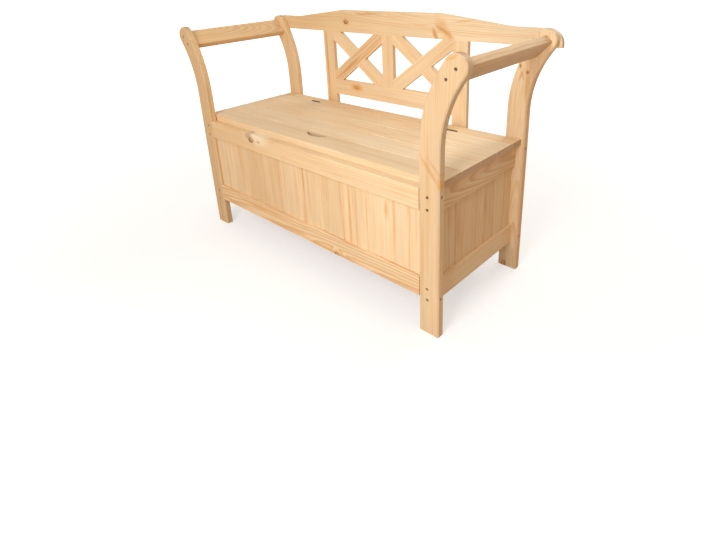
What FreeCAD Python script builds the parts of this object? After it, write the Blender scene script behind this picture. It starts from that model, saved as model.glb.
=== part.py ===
import FreeCAD, Part
import Sketcher
import math
import os
import re

# Garden storage bench in planed pine: a chest with a hinged seat lid, four posts that sweep out
# into round scroll heads, armrest bars between the heads and a half-lapped lattice back.
# Millimetres, +X to the sitter's left hand, -Y to the front, +Z up, origin on the ground.

doc = FreeCAD.newDocument("GardenStorageBench")

sizes = {
    # overall frame
    "clear_half_width": 512.0,
    "post_width": 66.0,
    "post_thick": 25.0,
    "chest_depth": 474.0,
    "seat_height": 471.0,
    "post_arris": 3.0,
    # outward sweep of the posts
    "bend_rise": 88.0,
    "bend_radius": 356.0,
    "bend_sweep": 37.2,
    # armrest bars
    "arm_width": 69.0,
    "arm_thick": 28.0,
    "arm_sweep": 34.0,
    "arm_tilt": 44.5,
    "arm_ease": 5.0,
    # front and rear rails
    "rail_thick": 25.0,
    "top_rail_thick": 35.0,
    "rail_height": 64.0,
    "bottom_rail_low": 115.0,
    "rail_ease": 2.0,
    # side rails
    "side_inset": 26.0,
    "side_rail_thick": 25.0,
    "side_top_height": 76.0,
    "side_bottom_low": 98.0,
    "side_bottom_height": 66.0,
    # tongued boards
    "board_thick": 10.0,
    "board_recess": 10.0,
    "board_seat": 8.0,
    "board_headroom": 1.0,
    "board_play": 0.3,
    "board_joint": 0.4,
    "board_bevel": 2.5,
    "tongue_thick": 3.6,
    "tongue_long": 5.0,
    "groove_thick": 4.0,
    "groove_deep": 5.6,
    # chest floor
    "floor_thick": 8.0,
    "ledger_width": 20.0,
    "ledger_height": 20.0,
    "ledger_rise": 4.0,
    "floor_gap": 1.0,
    # lid and the fixed strip behind it
    "seat_thick": 20.0,
    "lid_end_inset": 12.0,
    "lid_front_gap": 2.0,
    "lid_rest_gap": 0.3,
    "lid_joint": 1.0,
    "lid_ease": 3.0,
    "strip_width": 50.5,
    "hinge_gap": 3.0,
    "batten_width": 40.0,
    "batten_thick": 20.0,
    "batten_front": 15.0,
    "batten_rear": 10.5,
    "batten_end_inset": 102.0,
    "slot_length": 105.0,
    "slot_depth": 27.0,
    "slot_setback": 11.4,
    # butt hinges
    "hinge_end_inset": 225.0,
    "hinge_length": 45.0,
    "knuckle_radius": 3.0,
    "knuckle_gap": 0.3,
    "pin_radius": 1.5,
    "pin_play": 0.05,
    "leaf_gap": 0.6,
    "leaf_drop": 18.0,
    "hinge_room": 1.5,
    # lattice back
    "back_thick": 16.0,
    "crest_drop": 21.4,
    "crest_end_height": 53.0,
    "crest_rise": 31.0,
    "crest_overhang": 7.0,
    "crest_flat_inset": 50.0,
    "crest_foot_inset": 12.0,
    "crest_end_round": 45.0,
    "crest_top_round": 20.0,
    "crest_foot_round": 250.0,
    "crest_arris": 2.5,
    "upright_inset": 164.0,
    "upright_width": 58.0,
    "mullion_width": 54.0,
    "lattice_gap": 26.0,
    "lattice_height": 63.0,
    "diagonal_width": 50.0,
    # wells in the posts for the screw heads
    "well_radius": 4.5,
    "well_deep": 6.0,
    "rail_screw_spread": 36.0,
    "edge_screw_offset": 12.0,
    "arm_screw_spread": 37.0,
}

front_board_count = 10
side_board_count = 4
lid_board_count = 4
knuckle_count = 3
tiny = 0.001

sheet = doc.addObject("Spreadsheet::Sheet", "Sizes")
for row, (alias, value) in enumerate(sizes.items(), start=1):
    sheet.set("A%d" % row, alias)
    sheet.set("B%d" % row, str(value))
    sheet.setAlias("B%d" % row, alias)
doc.recompute()

# Places that several pieces share, as formulas of the driving sizes
front_face = "(-(chest_depth + back_thick) / 2)"
rear_face = "(%s + chest_depth)" % front_face
back_face = "(%s + back_thick)" % rear_face
front_inner = "(%s + post_thick)" % front_face
rear_inner = "(%s - post_thick)" % rear_face
post_outer = "(clear_half_width + post_width)"
rail_top = "(seat_height - seat_thick)"
top_rail_low = "(%s - rail_height)" % rail_top
bottom_rail_top = "(bottom_rail_low + rail_height)"
side_outer = "(%s - side_inset)" % post_outer
side_inner = "(%s - side_rail_thick)" % side_outer
side_top_low = "(%s - side_top_height)" % rail_top
side_bottom_top = "(side_bottom_low + side_bottom_height)"
bend_x = "(clear_half_width + post_width / 2 + bend_radius)"
bend_z = "(seat_height + bend_rise)"
head_x = "(%s - bend_radius * cos(bend_sweep))" % bend_x
head_z = "(%s + bend_radius * sin(bend_sweep))" % bend_z
arm_x = "(%s - bend_radius * cos(arm_sweep))" % bend_x
arm_z = "(%s + bend_radius * sin(arm_sweep))" % bend_z
strip_front = "(%s - strip_width)" % rear_inner
axis_y = "(%s - hinge_gap / 2)" % strip_front
lid_rear = "(%s - hinge_gap)" % strip_front
lid_front = "(%s + lid_front_gap)" % front_inner
lid_half = "(%s - lid_end_inset)" % post_outer
lid_low = "(%s + lid_rest_gap)" % rail_top
lid_top = "(seat_height + lid_rest_gap)"
lid_pitch = "((%s - %s + lid_joint) / %d)" % (lid_rear, lid_front, lid_board_count)
lattice_low = "(seat_height + lattice_gap)"
lattice_top = "(%s + lattice_height)" % lattice_low
upright_outer = "(clear_half_width - upright_inset)"
upright_inner = "(%s - upright_width)" % upright_outer
crest_half = "(%s + post_width / 2 + crest_overhang)" % head_x
crest_low = "(%s - crest_drop)" % head_z
ledger_low = "(bottom_rail_low + ledger_rise)"
floor_low = "(%s + ledger_height)" % ledger_low
hinge_x = "(%s - hinge_end_inset)" % lid_half

nodes = []


# A formula of sheet aliases, written as the sheet's own references
def cells(formula):
    return re.sub(r"[a-z_]+", lambda word: "Sizes." + word.group() if word.group() in sizes else word.group(),
                  formula)


def bind(thing, **formulas):
    for name, formula in formulas.items():
        thing.setExpression(name, cells(formula))
    return thing


def place(thing, x="0", y="0", z="0"):
    for letter, formula in (("x", x), ("y", y), ("z", z)):
        thing.setExpression("Placement.Base." + letter, cells(formula))
    return thing


def turn(thing, axis, degrees):
    thing.Placement = FreeCAD.Placement(FreeCAD.Vector(), FreeCAD.Rotation(FreeCAD.Vector(*axis), degrees))
    return thing


def node(thing, label):
    thing.Label = label
    nodes.append(thing)
    return thing


# A straight timber between two formulas along each axis
def block(name, x, y, z):
    box = doc.addObject("Part::Box", name)
    bind(box, Length="%s - (%s)" % (x[1], x[0]), Width="%s - (%s)" % (y[1], y[0]),
         Height="%s - (%s)" % (z[1], z[0]))
    return place(box, x[0], y[0], z[0])


def rod(name, radius, height, axis=(0, 0, 1), degrees=0):
    cylinder = doc.addObject("Part::Cylinder", name)
    bind(cylinder, Radius=radius, Height=height)
    return turn(cylinder, axis, degrees)


def cut(name, base, tool):
    result = doc.addObject("Part::Cut", name)
    result.Base = base
    result.Tool = tool
    return result


def common(name, base, tool):
    result = doc.addObject("Part::Common", name)
    result.Base = base
    result.Tool = tool
    return result


def fuse(name, pieces):
    result = doc.addObject("Part::MultiFuse", name)
    result.Shapes = pieces
    result.Refine = True
    return result


def group(name, pieces):
    result = doc.addObject("Part::Compound", name)
    result.Links = pieces
    return result


def copy_of(base, name):
    link = doc.addObject("App::Link", name)
    link.LinkedObject = base
    return link


# The left-hand twin of a right-hand piece
def mirrored(name, source):
    result = doc.addObject("Part::Mirroring", name)
    result.Source = source
    result.Normal = FreeCAD.Vector(1, 0, 0)
    return result


def both_sides(piece, label):
    node(piece, "right_" + label)
    node(mirrored("left_" + label, piece), "left_" + label)


# Indexes of the edges that run along one axis, within the chosen side of the piece
def edges_along(shape, axis, keep=lambda box: True):
    lengths = {"x": "XLength", "y": "YLength", "z": "ZLength"}
    found = []
    for index, edge in enumerate(shape.Edges, start=1):
        box = edge.BoundBox
        others = [getattr(box, lengths[name]) for name in "xyz" if name != axis]
        if max(others) < tiny and keep(box):
            found.append(index)
    return found


def eased(name, base, radius, axis, keep=lambda box: True):
    doc.recompute()
    result = doc.addObject("Part::Fillet", name)
    result.Base = base
    result.Edges = [(index, sizes[radius], sizes[radius]) for index in edges_along(base.Shape, axis, keep)]
    return result


# A closed outline whose corners are tied to formulas
def outline(sketch, corners):
    count = len(corners)
    start = [FreeCAD.Vector(10 * step, step * step, 0) for step in range(count)]
    for step in range(count):
        sketch.addGeometry(Part.LineSegment(start[step], start[(step + 1) % count]), False)
    for step in range(count):
        sketch.addConstraint(Sketcher.Constraint("Coincident", step, 2, (step + 1) % count, 1))
    for step, (across, up) in enumerate(corners):
        for kind, formula in (("DistanceX", across), ("DistanceY", up)):
            rule = sketch.addConstraint(Sketcher.Constraint(kind, -1, 1, step, 1, 1.0))
            sketch.setExpression("Constraints[%d]" % rule, cells(formula))


def sketch_on(body, name, role):
    sketch = body.newObject("Sketcher::SketchObject", name)
    plane = [feature for feature in body.Origin.OriginFeatures if feature.Role == role][0]
    sketch.AttachmentSupport = [(plane, "")]
    sketch.MapMode = "FlatFace"
    return sketch


def pad(body, sketch, name, length):
    feature = body.newObject("PartDesign::Pad", name)
    feature.Profile = sketch
    bind(feature, Length=length)
    doc.recompute()
    return feature


def rounded(body, feature, name, radius, names):
    fillet = body.newObject("PartDesign::Fillet", name)
    fillet.Base = (feature, names)
    bind(fillet, Radius=radius)
    doc.recompute()
    return fillet


# Sharp arrises taken off all round the two faces of a flat timber, above a given height
def arrised(body, feature, name, size, above):
    chamfer = body.newObject("PartDesign::Chamfer", name)
    chamfer.Base = (feature, ["Edge%d" % index for index, edge in enumerate(feature.Shape.Edges, start=1)
                              if edge.BoundBox.YLength < tiny and edge.BoundBox.ZMax > above])
    bind(chamfer, Size=size)
    doc.recompute()
    return chamfer


# Posts: a straight leg, a tangent sweep and a full round head, drawn as one outline
def post_outline(sketch):
    inner = sizes["clear_half_width"]
    outer = inner + sizes["post_width"]
    half = sizes["post_width"] / 2
    bend = sizes["seat_height"] + sizes["bend_rise"]
    radius = sizes["bend_radius"]
    turned = math.radians(sizes["bend_sweep"])
    up = FreeCAD.Vector(0, 0, 1)
    centre = FreeCAD.Vector(inner + half + radius, bend, 0)
    spoke = FreeCAD.Rotation(up, 180 - sizes["bend_sweep"]).multVec(FreeCAD.Vector(radius, 0, 0))
    foot_inner = FreeCAD.Vector(inner, 0, 0)
    foot_outer = FreeCAD.Vector(outer, 0, 0)
    outer_curve = Part.Circle(centre, up, radius - half)
    inner_curve = Part.Circle(centre, up, radius + half)
    head_curve = Part.Circle(centre + spoke, up, half)
    sketch.addGeometry(Part.LineSegment(foot_inner, foot_outer), False)
    sketch.addGeometry(Part.LineSegment(foot_outer, FreeCAD.Vector(outer, bend, 0)), False)
    sketch.addGeometry(Part.ArcOfCircle(outer_curve, math.pi - turned, math.pi), False)
    sketch.addGeometry(Part.ArcOfCircle(head_curve, -turned, math.pi - turned), False)
    sketch.addGeometry(Part.ArcOfCircle(inner_curve, math.pi - turned, math.pi), False)
    sketch.addGeometry(Part.LineSegment(FreeCAD.Vector(inner, bend, 0), foot_inner), False)
    foot, outer_side, outer_arc, head_arc, inner_arc, inner_side = range(6)
    start, end, middle = 1, 2, 3
    rules = [
        ("Coincident", foot, end, outer_side, start),
        ("Coincident", inner_side, end, foot, start),
        ("Tangent", outer_side, end, outer_arc, end),
        ("Tangent", outer_arc, start, head_arc, start),
        ("Tangent", head_arc, end, inner_arc, start),
        ("Tangent", inner_arc, end, inner_side, start),
        ("Horizontal", foot),
        ("Vertical", outer_side),
        ("Vertical", inner_side),
        ("Coincident", outer_arc, middle, inner_arc, middle),
        ("PointOnObject", foot, start, -1),
    ]
    for rule in rules:
        sketch.addConstraint(Sketcher.Constraint(*rule))
    measures = [
        (("DistanceX", -1, 1, foot, start, inner), "clear_half_width"),
        (("DistanceX", foot, start, foot, end, outer - inner), "post_width"),
        (("DistanceY", -1, 1, outer_arc, middle, bend), bend_z),
        (("Radius", inner_arc, radius + half), "bend_radius + post_width / 2"),
        (("DistanceY", -1, 1, head_arc, middle, centre.y + spoke.y), head_z),
    ]
    for rule, formula in measures:
        place_in_list = sketch.addConstraint(Sketcher.Constraint(*rule))
        sketch.setExpression("Constraints[%d]" % place_in_list, cells(formula))


def post_blank(name, rear):
    body = doc.addObject("PartDesign::Body", name)
    sketch = sketch_on(body, name + "_outline", "XZ_Plane")
    post_outline(sketch)
    leg = pad(body, sketch, name + "_pad", "post_thick")
    arrised(body, leg, name + "_arris", "post_arris", tiny)
    return place(body, y=rear)


# Wells for the screws that hold the side rails, the front and rear rails and the armrests
side_rail_x = "((%s + %s) / 2)" % (side_outer, side_inner)
side_screw_heights = ["((%s) / 2 %s rail_screw_spread / 2)" % (ends, sign)
                      for ends in ("%s + %s" % (rail_top, side_top_low), "%s + side_bottom_low" % side_bottom_top)
                      for sign in "+-"]
edge_screw_heights = ["(%s - edge_screw_offset)" % rail_top, "(bottom_rail_low + edge_screw_offset)"]
arm_screw_places = [("(%s %s arm_screw_spread / 2 * sin(arm_tilt))" % (arm_x, sign),
                     "(%s %s arm_screw_spread / 2 * cos(arm_tilt))" % (arm_z, sign)) for sign in "+-"]


# A well sunk along +Y from the face at the given place
def face_well(name, x, face, z):
    return place(rod(name, "well_radius", "well_deep", (1, 0, 0), -90), x, face, z)


def post_wells(end, face, middle_y):
    wells = [face_well("%s_rail_well_%d" % (end, step), side_rail_x, face, height)
             for step, height in enumerate(side_screw_heights)]
    for step, height in enumerate(edge_screw_heights):
        well = rod("%s_edge_well_%d" % (end, step), "well_radius", "well_deep", (0, 1, 0), 90)
        wells.append(place(well, "%s - well_deep" % post_outer, middle_y, height))
    if end == "front":
        wells += [face_well("%s_arm_well_%d" % (end, step), x, face, z)
                  for step, (x, z) in enumerate(arm_screw_places)]
    return group(end + "_post_wells", wells)


for end, rear, well_face, middle_y in (
        ("front", front_inner, front_face, "(%s + post_thick / 2)" % front_face),
        ("rear", rear_face, "(%s - well_deep)" % rear_face, "(%s - post_thick / 2)" % rear_face)):
    blank = post_blank(end + "_post_blank", rear)
    both_sides(cut(end + "_post_sunk", blank, post_wells(end, well_face, middle_y)), end + "_post")

# Armrest bars on the line of the sweep, tilted a little further than the post heads
arm_box = doc.addObject("Part::Box", "arm_box")
bind(arm_box, Length="arm_width", Width="%s - %s" % (rear_inner, front_inner), Height="arm_thick")
arm_bar = eased("arm_bar", arm_box, "arm_ease", "y")
bind(turn(arm_bar, (0, 1, 0), 0), **{"Placement.Rotation.Angle": "arm_tilt - 90"})
place(arm_bar,
      "%s - arm_width / 2 * sin(arm_tilt) + arm_thick / 2 * cos(arm_tilt)" % arm_x,
      front_inner,
      "%s - arm_width / 2 * cos(arm_tilt) - arm_thick / 2 * sin(arm_tilt)" % arm_z)
both_sides(arm_bar, "armrest")

# Front and rear rails between the posts, grooved for the boards
between_posts = ("-clear_half_width", "clear_half_width")
groove_side = "board_play / 2"
board_front = ("(%s + board_recess)" % front_face, "(%s + board_recess + board_thick)" % front_face)
board_rear = ("(%s - board_recess - board_thick)" % rear_face, "(%s - board_recess)" % rear_face)


def groove_across(limits):
    return ("%s - %s" % (limits[0], groove_side), "%s + %s" % (limits[1], groove_side))


def rail(label, y, z, groove_y, groove_z, outer_side):
    timber = block(label + "_timber", between_posts, y, z)
    doc.recompute()
    outer_y = timber.Shape.BoundBox.YMin if outer_side < 0 else timber.Shape.BoundBox.YMax
    timber = eased(label + "_eased", timber, "rail_ease", "x", lambda box: abs(box.YMin - outer_y) < tiny)
    node(cut(label + "_grooved", timber, block(label + "_groove", between_posts, groove_y, groove_z)), label)


upper = (top_rail_low, rail_top)
lower = ("bottom_rail_low", bottom_rail_top)
upper_groove = (top_rail_low, "%s + board_seat" % top_rail_low)
lower_groove = ("%s - board_seat" % bottom_rail_top, bottom_rail_top)
front_rail_y = (front_face, "%s + rail_thick" % front_face)
rear_rail_y = ("%s - rail_thick" % rear_face, rear_face)
apron_y = (front_face, "%s + top_rail_thick" % front_face)
rear_top_y = ("%s - top_rail_thick" % rear_face, rear_face)
front_groove = groove_across(board_front)
rear_groove = groove_across(board_rear)
rail("front_apron", apron_y, upper, front_groove, upper_groove, -1)
rail("front_bottom_rail", front_rail_y, lower, front_groove, lower_groove, -1)
rail("rear_top_rail", rear_top_y, upper, rear_groove, upper_groove, 1)
rail("rear_bottom_rail", rear_rail_y, lower, rear_groove, lower_groove, 1)

# Side rails between the front and the rear post
between_ends = (front_inner, rear_inner)
side_rail_x_limits = (side_inner, side_outer)
side_board = ("(%s - board_recess - board_thick)" % side_outer, "(%s - board_recess)" % side_outer)
side_groove = groove_across(side_board)
for label, z, groove_z in (
        ("side_top_rail", (side_top_low, rail_top), (side_top_low, "%s + board_seat" % side_top_low)),
        ("side_bottom_rail", ("side_bottom_low", side_bottom_top),
         ("%s - board_seat" % side_bottom_top, side_bottom_top))):
    timber = block(label + "_timber", side_rail_x_limits, between_ends, z)
    doc.recompute()
    far = timber.Shape.BoundBox.XMax
    timber = eased(label + "_eased", timber, "rail_ease", "y", lambda box: abs(box.XMax - far) < tiny)
    groove = block(label + "_groove", side_groove, between_ends, groove_z)
    both_sides(cut(label + "_grooved", timber, groove), label)


# Tongued boards: one profile with a bevelled face, a tongue and a groove, repeated along a panel
def board_profile(name, pitch, low, high):
    body = doc.addObject("PartDesign::Body", name)
    sketch = sketch_on(body, name + "_profile", "XY_Plane")
    edge = "(%s - board_joint)" % pitch
    tongue_low = "(board_thick - tongue_thick) / 2"
    tongue_high = "(board_thick + tongue_thick) / 2"
    groove_low = "(board_thick - groove_thick) / 2"
    groove_high = "(board_thick + groove_thick) / 2"
    outline(sketch, [
        ("board_bevel", "0"), ("%s - board_bevel" % edge, "0"), (edge, "board_bevel"),
        (edge, tongue_low), ("%s + tongue_long" % edge, tongue_low),
        ("%s + tongue_long" % edge, tongue_high), (edge, tongue_high), (edge, "board_thick"),
        ("0", "board_thick"), ("0", groove_high), ("groove_deep", groove_high),
        ("groove_deep", groove_low), ("0", groove_low), ("0", "board_bevel")])
    pad(body, sketch, name + "_pad", "%s - %s" % (high, low))
    return body


def board_panel(label, board, count, start, step, degrees, low, trim):
    copies = []
    for number in range(count):
        copy = turn(copy_of(board, "%s_%d" % (label, number)), (0, 0, 1), degrees)
        place(copy, "%s + %d * (%s)" % (start[0], number, step[0]),
              "%s + %d * (%s)" % (start[1], number, step[1]), low)
        copies.append(copy)
    return common(label + "_panel", group(label + "_row", copies), trim)


long_pitch = "(2 * clear_half_width / %d)" % front_board_count
long_low = lower_groove[0]
long_high = "(%s - board_headroom)" % upper_groove[1]
long_board = board_profile("long_board", long_pitch, "(%s)" % long_low, long_high)
front_trim = block("front_trim", between_posts, board_front, (long_low, long_high))
rear_trim = block("rear_trim", between_posts, board_rear, (long_low, long_high))
node(board_panel("front", long_board, front_board_count, ("-clear_half_width", board_front[0]),
                 (long_pitch, "0"), 0, long_low, front_trim), "front_boards")
node(board_panel("rear", long_board, front_board_count, ("clear_half_width", board_rear[1]),
                 ("-" + long_pitch, "0"), 180, long_low, rear_trim), "rear_boards")

side_pitch = "((%s - %s) / %d)" % (rear_inner, front_inner, side_board_count)
side_low = "(%s - board_seat)" % side_bottom_top
side_high = "(%s + board_seat - board_headroom)" % side_top_low
side_profile = board_profile("side_board", side_pitch, side_low, side_high)
side_trim = block("side_trim", side_board, between_ends, (side_low, side_high))
both_sides(board_panel("side", side_profile, side_board_count, (side_board[1], front_inner),
                       ("0", side_pitch), 90, side_low, side_trim), "side_boards")

# Chest floor in two panels on ledgers along the bottom rails
floor_half = "(%s - floor_gap)" % side_inner
ledger_z = (ledger_low, floor_low)
front_ledger_y = (front_rail_y[1], "%s + ledger_width" % front_rail_y[1])
rear_ledger_y = ("%s - ledger_width" % rear_rail_y[0], rear_rail_y[0])
floor_y = ("%s + floor_gap" % front_rail_y[1], "%s - floor_gap" % rear_rail_y[0])
node(block("front_ledger", ("-" + floor_half, floor_half), front_ledger_y, ledger_z), "front_floor_ledger")
node(block("rear_ledger", ("-" + floor_half, floor_half), rear_ledger_y, ledger_z), "rear_floor_ledger")
both_sides(block("floor_half_panel", ("floor_gap / 2", floor_half), floor_y,
                 (floor_low, "%s + floor_thick" % floor_low)), "floor_panel")

# Room for the hinge knuckles in the facing edges of strip and lid
knuckle_room = "(knuckle_radius + hinge_room)"
room_half = "(hinge_length / 2 + hinge_room)"
room = block("hinge_room", ("%s - %s" % (hinge_x, room_half), "%s + %s" % (hinge_x, room_half)),
             ("%s - %s" % (axis_y, knuckle_room), "%s + %s" % (axis_y, knuckle_room)),
             ("seat_height - %s" % knuckle_room, "seat_height + %s" % knuckle_room))
rooms = group("hinge_rooms", [room, mirrored("hinge_room_left", room)])

# Fixed strip behind the lid
across_lid = ("-" + lid_half, lid_half)
strip = block("strip_timber", across_lid, (strip_front, rear_inner), (rail_top, "seat_height"))
strip = eased("strip_eased", strip, "lid_ease", "x", lambda box: box.ZMin > sizes["seat_height"] - tiny)
node(cut("strip_notched", strip, rooms), "hinge_strip")

# Lid boards, the front one with the half-moon finger slot ahead of its rear edge
slot_chord = "(%s + %s - lid_joint - slot_setback)" % (lid_front, lid_pitch)
slot_front = "(%s - slot_depth)" % slot_chord
slot_radius = "((slot_length * slot_length / 4 + slot_depth * slot_depth) / (2 * slot_depth))"
slot_disc = place(rod("slot_disc", slot_radius, "2 * seat_thick"), "0",
                  "%s + %s" % (slot_front, slot_radius), "%s - seat_thick / 2" % lid_low)
slot_limit = block("slot_limit", ("-slot_length / 2", "slot_length / 2"), (slot_front, slot_chord),
                   ("%s - seat_thick / 2" % lid_low, "%s + 1.5 * seat_thick" % lid_low))
finger_slot = common("finger_slot", slot_disc, slot_limit)
lid_names = ["lid_front_board", "lid_second_board", "lid_third_board", "lid_rear_board"]
for number, label in enumerate(lid_names):
    front = "(%s + %d * %s)" % (lid_front, number, lid_pitch)
    board = block(label + "_timber", across_lid, (front, "(%s + %s - lid_joint)" % (front, lid_pitch)),
                  (lid_low, lid_top))
    board = eased(label + "_eased", board, "lid_ease", "x", lambda box: box.ZMin > sizes["seat_height"])
    if number == 0:
        board = cut("lid_slotted", board, finger_slot)
    if number == lid_board_count - 1:
        board = cut("lid_notched", board, rooms)
    node(board, label)

# Battens under the lid, evenly spaced
batten_y = ("%s + batten_front" % lid_front, "%s - batten_rear" % lid_rear)
batten_z = ("%s - batten_thick" % lid_low, lid_low)
outer_batten_x = "(%s - batten_end_inset)" % lid_half
inner_batten_x = "(%s / 3)" % outer_batten_x
for label, middle in (("inner_batten", inner_batten_x), ("outer_batten", outer_batten_x)):
    batten = block(label + "_timber", ("%s - batten_width / 2" % middle, "%s + batten_width / 2" % middle),
                   batten_y, batten_z)
    both_sides(batten, "lid_" + label)

# Butt hinges: knuckles of the two leaves take turns on one pin
pin_x = "(%s - hinge_length / 2)" % hinge_x
knuckle_long = "(hinge_length / %d)" % knuckle_count
plate_top = "(seat_height - knuckle_radius - knuckle_gap)"


def along_pin(name, radius, start, length):
    return place(rod(name, radius, length, (0, 1, 0), 90), start, axis_y, "seat_height")


def hinge_leaf(name, plate_y, own, bore):
    plate = block(name + "_plate", (pin_x, "%s + hinge_length" % pin_x), plate_y,
                  ("seat_height - leaf_drop", plate_top))
    pieces = [plate]
    for number in own:
        start = "(%s + %d * %s + knuckle_gap / 2)" % (pin_x, number, knuckle_long)
        length = "(%s - knuckle_gap)" % knuckle_long
        pieces.append(block("%s_neck_%d" % (name, number), (start, "%s + %s" % (start, length)), plate_y,
                            (plate_top, "seat_height")))
        pieces.append(along_pin("%s_knuckle_%d" % (name, number), "knuckle_radius", start, length))
    hole = along_pin(name + "_hole", bore, "%s - hinge_room" % pin_x, "hinge_length + 2 * hinge_room")
    return cut(name + "_bored", fuse(name + "_blank", pieces), hole)


fixed_plate_y = ("%s + leaf_gap / 2" % axis_y, strip_front)
moving_plate_y = (lid_rear, "%s - leaf_gap / 2" % axis_y)
both_sides(hinge_leaf("fixed_leaf", fixed_plate_y, range(0, knuckle_count, 2), "pin_radius"), "hinge_fixed_leaf")
both_sides(hinge_leaf("moving_leaf", moving_plate_y, range(1, knuckle_count, 2), "pin_radius + pin_play"),
           "hinge_lid_leaf")
both_sides(along_pin("pin", "pin_radius", pin_x, "hinge_length"), "hinge_pin")

# Lattice back: crest rail with its raised middle, uprights, mullion and lower rail in one plane
crest = doc.addObject("PartDesign::Body", "crest_blank")
crest_sketch = sketch_on(crest, "crest_outline", "XZ_Plane")
crest_shoulder = "(%s + crest_end_height)" % crest_low
crest_peak = "(%s + crest_rise)" % crest_shoulder
crest_flat = "(%s - crest_flat_inset)" % upright_inner
crest_foot = "(clear_half_width - crest_foot_inset)"
outline(crest_sketch, [
    ("-" + crest_half, crest_low), (crest_half, crest_low),
    (crest_half, crest_shoulder), (crest_foot, crest_shoulder),
    (crest_flat, crest_peak), ("-" + crest_flat, crest_peak),
    ("-" + crest_foot, crest_shoulder), ("-" + crest_half, crest_shoulder)])
crest_pad = pad(crest, crest_sketch, "crest_pad", "back_thick")
crest_line = sorted({round(abs(edge.BoundBox.XMin), 3) for edge in crest_pad.Shape.Edges
                     if edge.BoundBox.XLength < tiny})
shoulder_height = crest_pad.Shape.BoundBox.ZMin + sizes["crest_end_height"] / 2


# Upper corners of the crest at one distance from its middle
def crest_corners(feature, half):
    return ["Edge%d" % index for index in edges_along(
        feature.Shape, "y", lambda box: abs(abs(box.XMin) - half) < tiny and box.ZMin > shoulder_height)]


crest_tip = crest_pad
for half, radius in zip(crest_line, ("crest_top_round", "crest_foot_round", "crest_end_round")):
    crest_tip = rounded(crest, crest_tip, radius + "_fillet", radius, crest_corners(crest_tip, half))
arrised(crest, crest_tip, "crest_arris_chamfer", "crest_arris", shoulder_height)
node(place(crest, y=back_face), "crest_rail")

back_y = (rear_face, back_face)
both_sides(block("upright_timber", (upright_inner, upright_outer), back_y, (top_rail_low, crest_low)), "upright")
node(block("mullion", ("-mullion_width / 2", "mullion_width / 2"), back_y, (lattice_top, crest_low)),
     "centre_mullion")
node(block("lattice_timber", ("-" + upright_inner, upright_inner), back_y, (lattice_low, lattice_top)),
     "lattice_rail")

# Diagonals cut to their openings and half-lapped where they cross, the rising one in front
opening_wide = "(%s - mullion_width / 2)" % upright_inner
opening_high = "(%s - %s)" % (crest_low, lattice_top)
opening_tilt = "atan(%s / %s)" % (opening_high, opening_wide)
opening_middle_x = "((%s + mullion_width / 2) / 2)" % upright_inner
opening_middle_z = "((%s + %s) / 2)" % (crest_low, lattice_top)
strip_long = "(%s + %s)" % (opening_wide, opening_high)


# A bar through the opening's middle, centred on its own length and width before it is turned
def diagonal_bar(name, side, slope, front, rear):
    bar = doc.addObject("Part::Box", name)
    bind(bar, Length=strip_long, Width="%s - %s" % (rear, front), Height="diagonal_width")
    turn(bar, (0, 1, 0), 0)
    tilt = "(%d * %s)" % (-slope, opening_tilt)
    bar.setExpression("Placement.Rotation.Angle", cells(tilt))
    half_long = "%s / 2" % strip_long
    half_wide = "diagonal_width / 2"
    lean = "(%d * sin(%s))" % (slope, opening_tilt)
    level = "cos(%s)" % opening_tilt
    return place(bar, "%d * %s - %s * %s + %s * %s" % (side, opening_middle_x, half_long, level, half_wide, lean),
                 front, "%s - %s * %s - %s * %s" % (opening_middle_z, half_long, lean, half_wide, level))


lap_face = "(%s - back_thick / 2)" % back_face
for side_name, side in (("right", 1), ("left", -1)):
    near = "mullion_width / 2"
    limits = (near, upright_inner) if side > 0 else ("-" + upright_inner, "-" + near)
    opening = block(side_name + "_opening", limits, back_y, (lattice_top, crest_low))
    for kind, slope, other_y in (("rising", 1, (lap_face, back_face)), ("falling", -1, (rear_face, lap_face))):
        label = "%s_%s_diagonal" % (side_name, kind)
        bar = diagonal_bar(label + "_bar", side, slope, rear_face, back_face)
        fitted = common(label + "_fitted", bar, opening)
        lap = diagonal_bar(label + "_lap", side, -slope, *other_y)
        node(cut(label + "_lapped", fitted, lap), label)

doc.recompute()
for thing in doc.Objects:
    if "Invalid" in thing.State or "Error" in thing.State:
        raise RuntimeError("%s did not build: %s" % (thing.Label, thing.State))
for piece in nodes:
    if piece.Shape.isNull() or not piece.Shape.isValid() or not piece.Shape.Solids:
        raise RuntimeError("%s has no valid solid" % piece.Label)
os.makedirs("parts", exist_ok=True)
for piece in nodes:
    piece.Shape.exportStep("parts/%s.step" % piece.Label)
    box = piece.Shape.BoundBox
    print("%-26s %2d solids  x %7.1f %7.1f  y %7.1f %7.1f  z %7.1f %7.1f" % (
        piece.Label, len(piece.Shape.Solids), box.XMin, box.XMax, box.YMin, box.YMax, box.ZMin, box.ZMax))
print(len(nodes), "nodes")
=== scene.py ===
import math

import bmesh
import bpy
from mathutils import Matrix, Vector


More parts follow.
